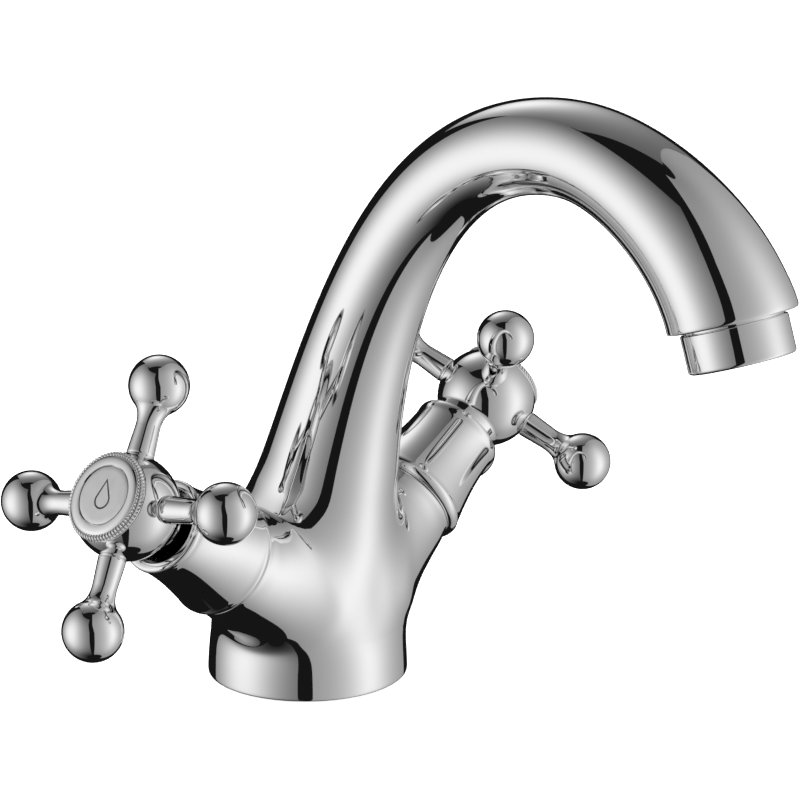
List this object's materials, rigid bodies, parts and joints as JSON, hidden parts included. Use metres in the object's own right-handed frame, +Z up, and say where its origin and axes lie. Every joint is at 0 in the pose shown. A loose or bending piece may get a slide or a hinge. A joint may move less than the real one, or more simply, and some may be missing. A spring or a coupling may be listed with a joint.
{
  "type": "basin mixer tap",
  "caption": "Two-handle basin mixer tap with a swan-neck spout, ball-ended cross handles, bell shrouds, ceramic quarter-turn valves and an aerator.",
  "frame": {"origin": "centre of the round foot on the deck plane", "axes": "+Z up from the deck, spout points to -Y, the valves lean out to -X (left of a person facing the spout) and +X"},
  "size_m": [0.1759, 0.1782, 0.1564],
  "materials": {
    "chrome_plate": "polished chrome plate on brass",
    "satin_chrome": "satin",
    "brass": "turned, unplated",
    "ceramic": "lapped alumina",
    "rubber": "matte black",
    "white_plastic": "moulded",
    "steel": "plain stainless steel"
  },
  "bodies": {
    "tap_body": {"body_casting": "chrome_plate", "base_seal": "rubber", "aerator_sleeve": "chrome_plate", "aerator_insert": "white_plastic", "aerator_mesh": "steel", "aerator_washer": "rubber", "left_headwork": "brass", "left_seat_seal": "rubber", "left_headwork_ring": "rubber", "left_fixed_disc": "ceramic", "left_slip_washer": "white_plastic", "left_shroud": "chrome_plate", "right_headwork": "brass", "right_seat_seal": "rubber", "right_headwork_ring": "rubber", "right_fixed_disc": "ceramic", "right_slip_washer": "white_plastic", "right_shroud": "chrome_plate"},
    "left_handle": {"left_moving_disc": "ceramic", "left_spindle": "brass", "left_spindle_rings": "rubber", "left_clip": "steel", "left_hub": "chrome_plate", "left_cross_arms": "chrome_plate", "left_handle_screw": "steel", "left_cap_bezel": "chrome_plate", "left_cap_button": "satin_chrome"},
    "right_handle": {"right_moving_disc": "ceramic", "right_spindle": "brass", "right_spindle_rings": "rubber", "right_clip": "steel", "right_hub": "chrome_plate", "right_cross_arms": "chrome_plate", "right_handle_screw": "steel", "right_cap_bezel": "chrome_plate", "right_cap_button": "satin_chrome"}
  },
  "joints": [
    {"name": "left_handle_turn", "type": "hinge", "parent": "tap_body", "child": "left_handle", "pos_m": [-0.06585, -0.0035, 0.05862], "axis": [-0.8462, 0, 0.5329], "range_deg": [0, 90]},
    {"name": "right_handle_turn", "type": "hinge", "parent": "tap_body", "child": "right_handle", "pos_m": [0.06585, -0.0035, 0.05862], "axis": [0.8462, 0, 0.5329], "range_deg": [-90, 0]}
  ]
}
